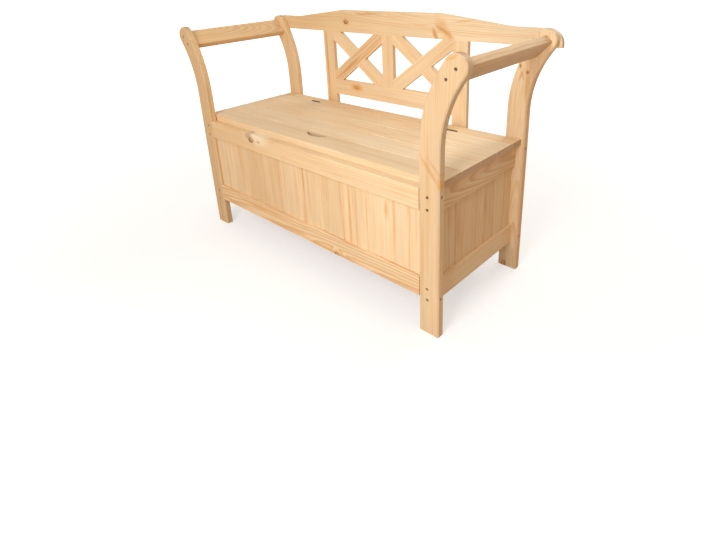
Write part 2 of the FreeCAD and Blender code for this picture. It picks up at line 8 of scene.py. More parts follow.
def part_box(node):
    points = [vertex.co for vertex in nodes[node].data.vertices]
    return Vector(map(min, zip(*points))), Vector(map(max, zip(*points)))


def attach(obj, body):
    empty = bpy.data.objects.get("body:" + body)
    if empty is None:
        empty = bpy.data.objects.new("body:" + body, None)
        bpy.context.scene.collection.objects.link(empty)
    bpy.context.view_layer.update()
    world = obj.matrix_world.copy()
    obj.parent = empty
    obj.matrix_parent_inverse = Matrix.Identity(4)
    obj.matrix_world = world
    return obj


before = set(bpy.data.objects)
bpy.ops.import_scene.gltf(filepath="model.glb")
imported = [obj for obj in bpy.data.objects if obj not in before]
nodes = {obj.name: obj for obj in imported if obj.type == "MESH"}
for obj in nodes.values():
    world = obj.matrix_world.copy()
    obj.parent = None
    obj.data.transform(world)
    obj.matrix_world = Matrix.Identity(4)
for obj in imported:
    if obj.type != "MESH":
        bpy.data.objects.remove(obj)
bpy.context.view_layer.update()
scene = bpy.context.scene
millimetres = 1000  # the grain is drawn in millimetres, the bench in metres
print("bench loaded:", len(nodes), "timbers and fittings")


# small helpers for building node trees
def plug(tree, source, socket):
    if isinstance(source, bpy.types.NodeSocket):
        tree.links.new(source, socket)
    else:
        socket.default_value = source


def maths(tree, operation, *values, clamp=False):
    node = tree.nodes.new("ShaderNodeMath")
    node.operation = operation
    node.use_clamp = clamp
    for value, socket in zip(values, node.inputs):
        plug(tree, value, socket)
    return node.outputs[0]


def vectorMaths(tree, operation, *values):
    node = tree.nodes.new("ShaderNodeVectorMath")
    node.operation = operation
    for value, socket in zip(values, node.inputs):
        plug(tree, value, socket)
    return node.outputs["Value" if operation in ("LENGTH", "DOT_PRODUCT") else "Vector"]


def noise(tree, vector, scale=1.0, detail=2.0, rough=0.5):
    node = tree.nodes.new("ShaderNodeTexNoise")
    plug(tree, vector, node.inputs["Vector"])
    node.inputs["Scale"].default_value = scale
    node.inputs["Detail"].default_value = detail
    node.inputs["Roughness"].default_value = rough
    return node


def ramp(tree, value, low, high, toLow=0.0, toHigh=1.0):
    node = tree.nodes.new("ShaderNodeMapRange")
    node.interpolation_type = "SMOOTHSTEP"
    for source, name in ((value, "Value"), (low, "From Min"), (high, "From Max"),
                         (toLow, "To Min"), (toHigh, "To Max")):
        plug(tree, source, node.inputs[name])
    return node.outputs[0]


def blendColours(tree, factor, first, second, how="MIX"):
    node = tree.nodes.new("ShaderNodeMix")
    node.data_type = "RGBA"
    node.blend_type = how
    plug(tree, factor, node.inputs[0])
    plug(tree, first, node.inputs[6])
    plug(tree, second, node.inputs[7])
    return node.outputs[2]


def openGroup(name, takes, gives):
    tree = bpy.data.node_groups.new(name, "ShaderNodeTree")
    for label, kind, start in takes:
        socket = tree.interface.new_socket(label, in_out="INPUT", socket_type="NodeSocket" + kind)
        if start is not None:
            socket.default_value = start
    for label, kind in gives:
        tree.interface.new_socket(label, in_out="OUTPUT", socket_type="NodeSocket" + kind)
    return tree, tree.nodes.new("NodeGroupInput").outputs, tree.nodes.new("NodeGroupOutput").inputs


def placeGroup(tree, group, **values):
    node = tree.nodes.new("ShaderNodeGroup")
    node.node_tree = group
    for name, value in values.items():
        plug(tree, value, node.inputs[name])
    return node.outputs


# how far each layer of the figure is drawn out: along and across the grain
figureScale = {
    "sway": (0.0019, 0.0035),
    "ripple": (0.012, 0.11),
    "fibre": (0.011, 0.9),
    "grain": (0.0034, 0.16),
    "broad": (0.0028, 0.02),
    "resin": (0.0022, 0.075),
}


# growth rings round a pith that runs along the timber, in millimetres: x along, y thickness, z width
def makePineFigure():
    tree, given, out = openGroup(
        "pineFigure",
        [("timber", "Vector", None), ("seed", "Float", 1.0), ("ring", "Float", 5.0),
         ("pithDepth", "Float", 40.0), ("pithSide", "Float", 80.0), ("taper", "Float", 0.015),
         ("waver", "Float", 6.0), ("late", "Float", 0.4), ("streaks", "Float", 0.4),
         ("bold", "Float", 0.0), ("fine", "Float", 1.0),
         ("bulge", "Float", 0.0), ("tone", "Float", 0.0),
         ("earlyColour", "Color", (0.9, 0.69, 0.44, 1)), ("lateColour", "Color", (0.79, 0.48, 0.22, 1)),
         ("streakColour", "Color", (0.78, 0.45, 0.19, 1))],
        [("colour", "Color"), ("roughness", "Float"), ("height", "Float")])
    shift = tree.nodes.new("ShaderNodeCombineXYZ")
    for socket, stride in zip(shift.inputs, (37.1, 11.3, 5.7)):
        plug(tree, maths(tree, "MULTIPLY", given["seed"], stride), socket)

    crosswise = tree.nodes.new("ShaderNodeCombineXYZ")
    crosswise.inputs[0].default_value = 1.0
    for socket in list(crosswise.inputs)[1:]:
        plug(tree, given["fine"], socket)
    combed = vectorMaths(tree, "MULTIPLY", given["timber"], crosswise.outputs[0])

    def stretched(layer, source=given["timber"]):
        along, across = figureScale[layer]
        scaled = vectorMaths(tree, "MULTIPLY", source, (along, across, across))
        return vectorMaths(tree, "ADD", scaled, shift.outputs[0])

    def swing(value, amount):
        return maths(tree, "MULTIPLY_ADD", value, amount, -amount / 2)

    # a log is never quite straight
    slow = noise(tree, stretched("sway"), detail=1)
    sway = vectorMaths(tree, "SUBTRACT", slow.outputs["Color"], (0.5, 0.5, 0.5))
    swayed = vectorMaths(tree, "SCALE", sway)
    plug(tree, maths(tree, "MULTIPLY", given["waver"], 4.0), swayed.node.inputs["Scale"])
    spot = tree.nodes.new("ShaderNodeSeparateXYZ")
    plug(tree, vectorMaths(tree, "ADD", given["timber"], swayed), spot.inputs[0])
    lean = maths(tree, "MULTIPLY", spot.outputs[0], given["taper"])
    depth = maths(tree, "ADD", maths(tree, "SUBTRACT", spot.outputs[1], given["pithDepth"]), lean)
    side = maths(tree, "SUBTRACT", spot.outputs[2], given["pithSide"])
    squares = maths(tree, "ADD", maths(tree, "MULTIPLY", depth, depth), maths(tree, "MULTIPLY", side, side))
    ripple = noise(tree, stretched("ripple"), detail=2).outputs[0]
    core = maths(tree, "SQRT", squares)
    count = maths(tree, "DIVIDE", maths(tree, "ADD", core, swing(ripple, 2.4)), given["ring"])
    turned = maths(tree, "ADD", count, maths(tree, "DIVIDE", given["bulge"], given["ring"]))

    # years of fast and slow growth, and runs of strong and weak ones
    def alongYears(scale, offset):
        years = tree.nodes.new("ShaderNodeTexNoise")
        years.noise_dimensions = "1D"
        years.inputs["Scale"].default_value = scale
        plug(tree, maths(tree, "MULTIPLY_ADD", given["seed"], offset, count), years.inputs["W"])
        return years.outputs[0]

    grown = maths(tree, "ADD", turned, swing(alongYears(0.31, 7.3), 1.8))
    within = maths(tree, "FRACT", grown)
    year = tree.nodes.new("ShaderNodeTexWhiteNoise")
    year.noise_dimensions = "1D"
    plug(tree, maths(tree, "ADD", maths(tree, "FLOOR", grown), given["seed"]), year.inputs["W"])
    rise = ramp(tree, within, 0.25, 0.85)
    fall = ramp(tree, within, 0.9, 1.0, 1.0, 0.0)
    force = ramp(tree, year.outputs["Value"], 0.0, 1.0, 0.35, 1.0)
    run = ramp(tree, alongYears(0.17, 3.1), 0.36, 0.64, 0.4, 1.0)
    strength = maths(tree, "MULTIPLY", force, run)
    missing = maths(tree, "SUBTRACT", 1.0, strength)
    strength = maths(tree, "ADD", strength, maths(tree, "MULTIPLY", missing, given["bold"]))
    lateWood = maths(tree, "MULTIPLY", maths(tree, "MULTIPLY", rise, fall), strength)
    fibre = noise(tree, stretched("fibre"), detail=3, rough=0.6).outputs[0]
    grain = noise(tree, stretched("grain", combed), detail=3, rough=0.55).outputs[0]
    broad = noise(tree, stretched("broad"), detail=2).outputs[0]
    resin = noise(tree, stretched("resin", combed), detail=2).outputs[0]
    wood = blendColours(tree, maths(tree, "MULTIPLY", lateWood, given["late"]),
                        given["earlyColour"], given["lateColour"])
    amber = maths(tree, "MULTIPLY", ramp(tree, resin, 0.55, 0.72), given["streaks"])
    wood = blendColours(tree, amber, wood, given["streakColour"])
    wood = blendColours(tree, ramp(tree, grain, 0.48, 0.72, 0.0, 0.5), wood, given["lateColour"])
    level = maths(tree, "ADD", given["tone"], 1.0)
    for value, amount in ((broad, 0.2), (grain, 0.2), (fibre, 0.14)):
        level = maths(tree, "ADD", level, swing(value, amount))
    grey = tree.nodes.new("ShaderNodeCombineColor")
    for socket in grey.inputs:
        plug(tree, level, socket)
    plug(tree, blendColours(tree, 1.0, wood, grey.outputs[0], "MULTIPLY"), out["colour"])
    dull = maths(tree, "MULTIPLY_ADD", fibre, 0.16, 0.5)
    plug(tree, maths(tree, "SUBTRACT", dull, maths(tree, "MULTIPLY", lateWood, 0.08)), out["roughness"])
    plug(tree, maths(tree, "MULTIPLY_ADD", lateWood, 0.5, fibre), out["height"])
    return tree


# a branch that runs through the thickness: rings bulge round it
def makePineKnot():
    tree, given, out = openGroup(
        "pineKnot",
        [("timber", "Vector", None), ("centre", "Vector", None), ("size", "Float", 8.0),
         ("drawn", "Float", 0.72), ("tilt", "Float", 0.0), ("swirl", "Float", 1.0)],
        [("bulge", "Float"), ("core", "Float"), ("bark", "Float"), ("halo", "Float"), ("rings", "Float")])
    away = vectorMaths(tree, "SUBTRACT", given["timber"], given["centre"])
    ragged = noise(tree, vectorMaths(tree, "MULTIPLY", given["timber"], (0.11, 0.03, 0.11)), detail=2)
    narrow = tree.nodes.new("ShaderNodeCombineXYZ")
    plug(tree, given["drawn"], narrow.inputs[0])
    narrow.inputs[2].default_value = 1.0
    slanted = tree.nodes.new("ShaderNodeVectorRotate")
    slanted.rotation_type = "Y_AXIS"
    plug(tree, away, slanted.inputs["Vector"])
    plug(tree, given["tilt"], slanted.inputs["Angle"])
    flat = vectorMaths(tree, "MULTIPLY", slanted.outputs[0], narrow.outputs[0])
    even = maths(tree, "DIVIDE", vectorMaths(tree, "LENGTH", flat), given["size"])
    reach = maths(tree, "ADD", even, maths(tree, "MULTIPLY_ADD", ragged.outputs[0], 1.0, -0.5))
    fade = maths(tree, "EXPONENT", maths(tree, "MULTIPLY", maths(tree, "MULTIPLY", even, even), -0.2))
    push = maths(tree, "MULTIPLY", maths(tree, "MULTIPLY", fade, given["size"]), given["swirl"])
    plug(tree, push, out["bulge"])
    core = ramp(tree, reach, 0.8, 1.08, 1.0, 0.0)
    plug(tree, core, out["core"])
    lower = vectorMaths(tree, "DOT_PRODUCT", away, (-0.35, 0.0, -0.94))  # the dark rim is heavier below
    below = ramp(tree, maths(tree, "DIVIDE", lower, given["size"]), -0.5, 0.5, -0.5, 0.5)
    edge = maths(tree, "ADD", ramp(tree, reach, 0.45, 0.85), below, clamp=True)
    plug(tree, maths(tree, "MULTIPLY", core, edge), out["bark"])
    plug(tree, ramp(tree, reach, 0.4, 2.8, 1.0, 0.0), out["halo"])
    turns = maths(tree, "SINE", maths(tree, "MULTIPLY", reach, 15.0))
    plug(tree, maths(tree, "MULTIPLY_ADD", turns, 0.5, 0.5), out["rings"])
    return tree


# how far the boards of one panel may differ: pith sideways and in depth, shade, warmth, late wood
boardSpread = {"side": 240.0, "depth": 50.0, "seedStep": 1.7, "tone": (0.07, -0.04), "warm": 0.5,
               "late": (0.35, 0.2)}


# tells the boards of one panel apart: each gets its own pith, shade and place along the tree
def makeBoardPick():
    tree, given, out = openGroup(
        "boardPick",
        [("timber", "Vector", None), ("start", "Float", 0.0), ("pitch", "Float", 100.0),
         ("seed", "Float", 1.0)],
        [("timber", "Vector"), ("seed", "Float"), ("tone", "Float"), ("warm", "Float"), ("late", "Float")])
    spot = tree.nodes.new("ShaderNodeSeparateXYZ")
    plug(tree, given["timber"], spot.inputs[0])
    across = maths(tree, "SUBTRACT", spot.outputs[2], given["start"])
    index = maths(tree, "FLOOR", maths(tree, "DIVIDE", across, given["pitch"]))
    pick = tree.nodes.new("ShaderNodeTexWhiteNoise")
    pick.noise_dimensions = "1D"
    plug(tree, maths(tree, "ADD", index, given["seed"]), pick.inputs["W"])
    parts = tree.nodes.new("ShaderNodeSeparateColor")
    plug(tree, pick.outputs["Color"], parts.inputs[0])
    middle = maths(tree, "MULTIPLY", maths(tree, "ADD", index, 0.5), given["pitch"])
    middle = maths(tree, "ADD", middle, given["start"])
    fromMiddle = maths(tree, "SUBTRACT", spot.outputs[2], middle)
    sideways = maths(tree, "MULTIPLY_ADD", parts.outputs[0], boardSpread["side"], -boardSpread["side"] / 2)
    inwards = maths(tree, "MULTIPLY_ADD", parts.outputs[1], boardSpread["depth"], spot.outputs[1])
    joined = tree.nodes.new("ShaderNodeCombineXYZ")
    plug(tree, spot.outputs[0], joined.inputs[0])
    plug(tree, inwards, joined.inputs[1])
    plug(tree, maths(tree, "ADD", fromMiddle, sideways), joined.inputs[2])
    plug(tree, joined.outputs[0], out["timber"])
    plug(tree, maths(tree, "MULTIPLY_ADD", index, boardSpread["seedStep"], given["seed"]), out["seed"])
    plug(tree, maths(tree, "MULTIPLY_ADD", parts.outputs[2], *boardSpread["tone"]), out["tone"])
    plug(tree, maths(tree, "MULTIPLY", parts.outputs[0], boardSpread["warm"]), out["warm"])
    plug(tree, maths(tree, "MULTIPLY_ADD", parts.outputs[1], *boardSpread["late"]), out["late"])
    return tree


# sanded arrises: where the true normal turns away from a rounded one
def makeEdgeWear():
    tree, given, out = openGroup(
        "edgeWear", [("width", "Float", 0.002), ("timber", "Vector", None)], [("mask", "Float")])
    soft = tree.nodes.new("ShaderNodeBevel")
    soft.samples = 4
    plug(tree, given["width"], soft.inputs["Radius"])
    shape = tree.nodes.new("ShaderNodeNewGeometry")
    same = vectorMaths(tree, "DOT_PRODUCT", soft.outputs[0], shape.outputs["Normal"])
    bare = ramp(tree, same, 0.82, 0.99, 1.0, 0.0)
    spread = vectorMaths(tree, "SCALE", given["timber"])
    spread.node.inputs["Scale"].default_value = 0.03
    patches = ramp(tree, noise(tree, spread, detail=2).outputs[0], 0.35, 0.7, 0.35, 1.0)
    plug(tree, maths(tree, "MULTIPLY", bare, patches), out["mask"])
    return tree


pineFigure = makePineFigure()
pineKnot = makePineKnot()
boardPick = makeBoardPick()
edgeWear = makeEdgeWear()
print("shared wood effects built")

# how the grain lies: turns the bench frame into x along, y thickness, z width
lies = {
    "alongFront": (0, 0, 0),
    "alongSide": (0, 0, -90),
    "uprightFront": (0, 90, 0),
    "uprightSide": (-90, 0, -90),
    "flatAlong": (90, 0, 0),
    "flatAcross": (90, 90, 0),
}

pine = {
    "pale": (0.91, 0.725, 0.485, 1),
    "honey": (0.855, 0.61, 0.345, 1),
    "late": (0.71, 0.415, 0.17, 1),
    "resin": (0.61, 0.31, 0.105, 1),
    "streak": (0.76, 0.43, 0.165, 1),
    "blond": (0.915, 0.765, 0.545, 1),
    "amber": (0.74, 0.38, 0.095, 1),
    "ash": (0.46, 0.33, 0.205, 1),
    "knot": (0.22, 0.09, 0.035, 1),
    "knotHeart": (0.47, 0.24, 0.095, 1),
    "arris": (0.95, 0.745, 0.515, 1),
    "endGrain": (0.53, 0.315, 0.165, 1),
}


pineFinish = {"cutEnds": 0.85, "wornWidth": 0.0022, "wornPaler": 0.4, "wornSmoother": 0.06, "specular": 0.3,
              "bump": 0.25, "bumpDepth": 0.0004}


def mixOf(first, second, share):
    return tuple(a + (b - a) * share for a, b in zip(first, second))


def timberSpace(tree, lie, centre):
    turn = lie if isinstance(lie, tuple) else lies[lie]
    angles = tuple(math.radians(a) for a in turn)
    spin = (Matrix.Rotation(angles[2], 3, "Z") @ Matrix.Rotation(angles[1], 3, "Y")
            @ Matrix.Rotation(angles[0], 3, "X"))
    shift = -(spin @ (Vector(centre) * millimetres))
    where = tree.nodes.new("ShaderNodeTexCoord")
    mapping = tree.nodes.new("ShaderNodeMapping")
    mapping.inputs["Scale"].default_value = (millimetres, millimetres, millimetres)
    mapping.inputs["Rotation"].default_value = angles
    mapping.inputs["Location"].default_value = shift
    plug(tree, where.outputs["Object"], mapping.inputs["Vector"])
    return mapping.outputs[0], spin, shift


# a value that stays the same or drifts from one end of a span to the other
def drifting(tree, value, place, low, high):
    if isinstance(value, tuple):
        return ramp(tree, place, low, high, *value)
    return value


def pineMaterial(name, centre, half, look):
    material = bpy.data.materials.new(name)
    material.use_nodes = True
    tree = material.node_tree
    shader = tree.nodes["Principled BSDF"]
    seed = look["seed"]
    timber, spin, shift = timberSpace(tree, look["lie"], centre)
    lengthwise = spin.inverted() @ Vector((1, 0, 0))
    axes = tree.nodes.new("ShaderNodeSeparateXYZ")
    plug(tree, timber, axes.inputs[0])
    grown, growthSeed, late = timber, float(seed), look.get("late", 0.4)
    base = pine[look.get("base", "pale")]
    if "boards" in look:
        start, pitch = look["boards"]
        board = placeGroup(tree, boardPick, timber=timber, start=start, pitch=pitch, seed=float(seed))
        grown, growthSeed, late = board["timber"], board["seed"], board["late"]
        span = (axes.outputs[2], start, -start)
        warm = maths(tree, "ADD", board["warm"], drifting(tree, look.get("warm", 0.1), *span))
        tone = maths(tree, "ADD", board["tone"], drifting(tree, look.get("tone", 0.0), *span))
    else:
        span = (axes.outputs[0], -half, half)
        warm = drifting(tree, look.get("warm", 0.4), *span)
        tone = drifting(tree, look.get("tone", 0.0), *span)
    if isinstance(warm, float):
        early = mixOf(base, pine["honey"], warm)
    else:
        early = blendColours(tree, warm, base, pine["honey"])
    bulge, branches, lateTint = 0.0, [], pine[look.get("grain", "late")]
    for knot in look.get("knots", ()):
        place = spin @ (Vector(knot["at"]) * millimetres) + shift
        branch = placeGroup(tree, pineKnot, timber=timber, centre=tuple(place), size=knot["size"],
                            drawn=knot.get("drawn", 0.72), tilt=math.radians(knot.get("tilt", 0.0)),
                            swirl=knot.get("swirl", 1.0))
        bulge = maths(tree, "ADD", bulge, branch["bulge"])
        drawnRings = knot.get("figure", 0.3)  # rings show more strongly round a knot
        late = maths(tree, "MULTIPLY_ADD", branch["halo"], drawnRings, late)
        strong = maths(tree, "MULTIPLY", branch["halo"], drawnRings, clamp=True)
        lateTint = blendColours(tree, strong, lateTint, pine["resin"])
        branches.append((knot, branch))
    depth, side = look.get("pith", (40.0, 80.0))
    figure = placeGroup(
        tree, pineFigure, timber=grown, seed=growthSeed, ring=look.get("ring", 5.0), pithDepth=depth,
        pithSide=side, taper=look.get("taper", 0.015), waver=look.get("waver", 6.0), late=late,
        streaks=look.get("streaks", 0.4), bold=look.get("bold", 0.0), fine=look.get("fine", 1.0),
        bulge=bulge, tone=tone, earlyColour=early, lateColour=lateTint, streakColour=pine["streak"])
    colour, rough = figure["colour"], figure["roughness"]
    for knot, branch in branches:
        stain = pine[knot.get("stain", "streak")]
        stained = maths(tree, "MULTIPLY", branch["halo"], knot.get("halo", 0.4))
        colour = blendColours(tree, stained, colour, stain)
        heart = blendColours(tree, branch["rings"], pine["streak"], pine["knotHeart"])
        heart = blendColours(tree, branch["bark"], heart, pine["knot"])
        filled = maths(tree, "MULTIPLY", branch["core"], knot.get("dark", 1.0))
        colour = blendColours(tree, filled, colour, heart)
    # cut ends are darker, sanded arrises paler
    shape = tree.nodes.new("ShaderNodeNewGeometry")
    toTree = tree.nodes.new("ShaderNodeVectorTransform")
    toTree.vector_type = "NORMAL"
    toTree.convert_from, toTree.convert_to = "WORLD", "OBJECT"
    plug(tree, shape.outputs["Normal"], toTree.inputs[0])
    facing = vectorMaths(tree, "DOT_PRODUCT", toTree.outputs[0], tuple(lengthwise))
    ends = ramp(tree, maths(tree, "ABSOLUTE", facing), 0.72, 0.95, 0.0, pineFinish["cutEnds"])
    colour = blendColours(tree, ends, colour, pine["endGrain"])
    worn = placeGroup(tree, edgeWear, width=pineFinish["wornWidth"], timber=timber)["mask"]
    paler = maths(tree, "MULTIPLY", worn, pineFinish["wornPaler"])
    plug(tree, blendColours(tree, paler, colour, pine["arris"]), shader.inputs["Base Color"])
    smoother = maths(tree, "MULTIPLY", worn, pineFinish["wornSmoother"])
    plug(tree, maths(tree, "SUBTRACT", rough, smoother), shader.inputs["Roughness"])
    shader.inputs["Specular IOR Level"].default_value = pineFinish["specular"]
    bump = tree.nodes.new("ShaderNodeBump")
    bump.inputs["Strength"].default_value = pineFinish["bump"]
    bump.inputs["Distance"].default_value = pineFinish["bumpDepth"]
    plug(tree, figure["height"], bump.inputs["Height"])
    plug(tree, bump.outputs[0], shader.inputs["Normal"])
    return material


# resin streak: half its width and half its length in millimetres, tilt against the grain in degrees
def streak(at, width, length, stain, depth, tilt=0.0):
    haloReach = 1.6  # where the halo of a knot has faded to half
    return {"at": at, "size": width / haloReach, "drawn": width / length, "tilt": tilt, "swirl": 0.0,
            "dark": 0.0, "stain": stain, "halo": depth, "figure": 0.0}


def dress(node, material):
    mesh = nodes[node].data
    mesh.materials.clear()
    mesh.materials.append(material)


def dressTimber(node, **look):
    low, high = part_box(node)
    half = max(high - low) / 2 * millimetres
    dress(node, pineMaterial(node + "Pine", (low + high) / 2, half, look))


# posts, sawn from wide boards so the figure runs out at the sweep
postLook = {
    "right_front_post": {"seed": 11, "pith": (46, -95), "warm": 0.4, "late": 0.45, "streaks": 0.4,
                         "tone": (-0.1, -0.13),
                         "knots": [streak((0.552, -0.245, 0.510), 11, 38, "streak", 0.3, 39),
                                   streak((0.548, -0.245, 0.5055), 4, 44, "resin", 0.5, 39),
                                   streak((0.562, -0.245, 0.519), 3.5, 26, "resin", 0.45, 42),
                                   streak((0.576, -0.245, 0.474), 4, 16, "amber", 0.6),
                                   streak((0.602, -0.245, 0.793), 4, 15, "amber", 0.5, -73),
                                   streak((0.616, -0.245, 0.800), 3, 12, "amber", 0.45, -60)]},
    # left front post: its lower tone and warmer colour are painted shade, standing in for the light falling
    # off on the left
    "left_front_post": {"seed": 12, "pith": (44, 70), "warm": 1.0, "late": 0.7, "streaks": 0.8,
                        "tone": -0.17},
    # right rear post: its tone drifts from darker at the foot to paler at the head, painted shade below the
    # seat and painted light above it
    "right_rear_post": {"seed": 13, "pith": (-48, 20), "taper": 0.05, "base": "blond", "warm": 0.3,
                        "late": 0.6, "streaks": 0.5, "tone": (-0.14, 0.12),
                        "knots": [{"at": (0.547, 0.204, 0.6983), "size": 3.4, "swirl": 2.0, "halo": 0.5},
                                  {"at": (0.5706, 0.204, 0.6799), "size": 3.4, "swirl": 2.0, "halo": 0.5},
                                  streak((0.579, 0.204, 0.270), 6, 330, "late", 0.75),
                                  streak((0.5875, 0.204, 0.611), 6, 60, "late", 0.75, -9),
                                  streak((0.6205, 0.204, 0.708), 6, 60, "late", 0.75, -28),
                                  streak((0.5706, 0.204, 0.640), 3, 36, "amber", 0.6),
                                  streak((0.557, 0.204, 0.668), 2.5, 14, "resin", 0.45, 22),
                                  streak((0.551, 0.204, 0.668), 2.5, 14, "resin", 0.45, -22),
                                  {"at": (0.532, 0.204, 0.008), "size": 9, "drawn": 0.6, "dark": 0.8,
                                   "halo": 0.6}]},
    "left_rear_post": {"seed": 14, "pith": (52, -90), "warm": 0.9, "late": 0.5, "tone": -0.04},
}
for post, look in postLook.items():
    dressTimber(post, lie="uprightFront", **look)

# armrests
armLook = {
    "right_armrest": {"seed": 21, "pith": (30, -76), "base": "honey", "warm": 1.0, "late": 0.7,
                      "streaks": 0.6, "grain": "resin", "tone": 0.06,
                      # the long ash-coloured streak along the lower half of the right armrest is painted
                      # shade on its downward face
                      "knots": [streak((0.606, -0.02, 0.743), 27, 900, "ash", 0.5)]},
    "left_armrest": {"seed": 22, "pith": (-34, 52), "warm": 1.0, "late": 0.9, "streaks": 0.8, "taper": 0.16,
                     "bold": 0.4, "tone": -0.06},
}
for arm, look in armLook.items():
    dressTimber(arm, lie="alongSide", ring=4.0, **look)

# rails round the chest, the lower front one with the strongest grain
railLook = {
    # front apron: warmer and darker towards the left end, painted shade where the light falls off
    "front_apron": {"lie": "alongFront", "seed": 31, "pith": (60, -104), "warm": (1.0, 0.15), "late": 0.35,
                    "tone": (-0.05, 0.01),
                    "knots": [{"at": (-0.215, -0.245, 0.444), "size": 16, "drawn": 0.45, "swirl": 0.6,
                               "dark": 0.0, "stain": "blond", "halo": 1.0},
                              {"at": (-0.262, -0.245, 0.441), "size": 7, "drawn": 0.6, "swirl": 0.5,
                               "dark": 0.0, "stain": "ash", "halo": 0.8},
                              {"at": (-0.2474, -0.245, 0.4285), "size": 9.5, "drawn": 0.62, "swirl": 1.0,
                               "halo": 0.3, "stain": "ash"},
                              {"at": (-0.203, -0.245, 0.4295), "size": 3, "drawn": 0.5, "swirl": 0.0,
                               "dark": 0.0, "stain": "resin", "halo": 0.7}]},
    # front bottom rail: warmer towards the left end, painted shade where the light falls off
    "front_bottom_rail": {"lie": "alongFront", "seed": 32, "pith": (30, -24), "warm": (0.8, 0.3),
                          "late": 0.95, "streaks": 1.0, "taper": 0.04, "ring": 8.0, "waver": 8.0,
                          "grain": "resin", "bold": 0.3, "fine": 1.5,
                          "knots": [{"at": (0.173, -0.245, 0.119), "size": 8, "swirl": 2.0, "dark": 0.9}]},
    "rear_top_rail": {"lie": "alongFront", "seed": 33, "pith": (-45, 92)},
    "rear_bottom_rail": {"lie": "alongFront", "seed": 34, "pith": (-32, -58), "late": 0.5},
    "right_side_top_rail": {"lie": "alongSide", "seed": 35, "pith": (36, 12), "late": 0.8, "warm": 0.7,
                            "taper": 0.09, "ring": 7.0, "grain": "resin", "bold": 0.5},
    "left_side_top_rail": {"lie": "alongSide", "seed": 36, "pith": (-36, -72)},
    "right_side_bottom_rail": {"lie": "alongSide", "seed": 37, "pith": (42, -62), "late": 0.6, "warm": 0.6},
    "left_side_bottom_rail": {"lie": "alongSide", "seed": 38, "pith": (-52, 48)},
    "front_floor_ledger": {"lie": "alongFront", "seed": 39, "pith": (28, 40)},
    "rear_floor_ledger": {"lie": "alongFront", "seed": 40, "pith": (-28, 44)},
}
for rail, look in railLook.items():
    dressTimber(rail, **look)

# tongue and groove panels, the front and the right one with resin streaks
panelLook = {
    # front boards: warmer and darker towards the left, painted shade where the light falls off
    "front_boards": {"lie": "uprightFront", "seed": 51, "count": 10, "warm": (0.0, 0.4),
                     "tone": (0.01, -0.09),
                     "knots": [streak((0.0183, -0.235, 0.350), 4, 60, "resin", 0.7),
                               streak((0.0420, -0.235, 0.335), 4, 100, "resin", 0.45),
                               streak((0.3865, -0.235, 0.344), 6, 26, "amber", 0.6),
                               streak((-0.120, -0.235, 0.300), 4, 130, "streak", 0.7),
                               streak((0.235, -0.235, 0.270), 5, 160, "streak", 0.8),
                               streak((0.262, -0.235, 0.290), 4, 160, "resin", 0.35),
                               streak((-0.350, -0.235, 0.310), 4, 110, "streak", 0.6)]},
    "rear_boards": {"lie": "uprightFront", "seed": 52, "count": 10},
    "right_side_boards": {"lie": "uprightSide", "seed": 53, "count": 4, "warm": 0.5, "grain": "resin",
                          "bold": 0.4,
                          "knots": [streak((0.542, 0.045, 0.292), 6, 80, "streak", 0.6),
                                    streak((0.542, 0.046, 0.305), 3, 30, "resin", 0.75),
                                    streak((0.542, -0.093, 0.280), 7, 70, "streak", 0.6),
                                    streak((0.542, -0.101, 0.270), 3, 60, "resin", 0.45),
                                    streak((0.542, -0.146, 0.330), 6, 45, "streak", 0.5),
                                    streak((0.542, 0.040, 0.180), 4, 20, "amber", 0.6)]},
    "left_side_boards": {"lie": "uprightSide", "seed": 54, "count": 4},
}
for panel, look in panelLook.items():
    low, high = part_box(panel)
    width = max(high.x - low.x, high.y - low.y) * millimetres
    dressTimber(panel, streaks=0.55, boards=(-width / 2, width / look["count"]), **look)

# seat lid and the fixed strip behind it; their tone drifts paler towards the right end, painted light against
# the shade of the right post and armrest, and the lid boards run warmer and darker towards the left, painted
# shade
seatLook = {
    "lid_front_board": {"seed": 61, "pith": (52, 98), "warm": (0.6, 0.3), "late": 0.4, "tone": (-0.03, 0.0)},
    "lid_second_board": {"seed": 62, "pith": (-40, -90), "warm": (0.5, 0.0), "late": 0.35,
                         "tone": (-0.03, 0.11)},
    "lid_third_board": {"seed": 63, "pith": (64, 36), "warm": (0.65, 0.15), "late": 0.4,
                        "tone": (-0.03, 0.14),
                        "knots": [streak((0.147, 0.038, 0.471), 1.8, 9, "resin", 0.5),
                                  streak((0.176, 0.022, 0.471), 1.8, 8, "resin", 0.45),
                                  streak((0.209, 0.010, 0.471), 1.8, 10, "resin", 0.5),
                                  streak((0.223, -0.024, 0.471), 2.0, 12, "resin", 0.5),
                                  streak((0.188, -0.006, 0.471), 1.6, 7, "resin", 0.45)]},
    "lid_rear_board": {"seed": 64, "pith": (46, -84), "warm": (0.5, 0.1), "late": 0.4, "tone": (-0.03, 0.14)},
    "hinge_strip": {"seed": 65, "pith": (38, 52), "warm": 0.6, "late": 0.5, "tone": (-0.03, 0.1)},
}
for board, look in seatLook.items():
    dressTimber(board, lie="flatAlong", base="blond", **look)

battenLook = {
    "right_lid_inner_batten": {"seed": 71, "pith": (26, 60)},
    "right_lid_outer_batten": {"seed": 72, "pith": (34, -62)},
    "left_lid_inner_batten": {"seed": 73, "pith": (-30, 54)},
    "left_lid_outer_batten": {"seed": 74, "pith": (28, 66)},
}
for batten, look in battenLook.items():
    dressTimber(batten, lie="flatAcross", ring=4.0, warm=0.2, **look)

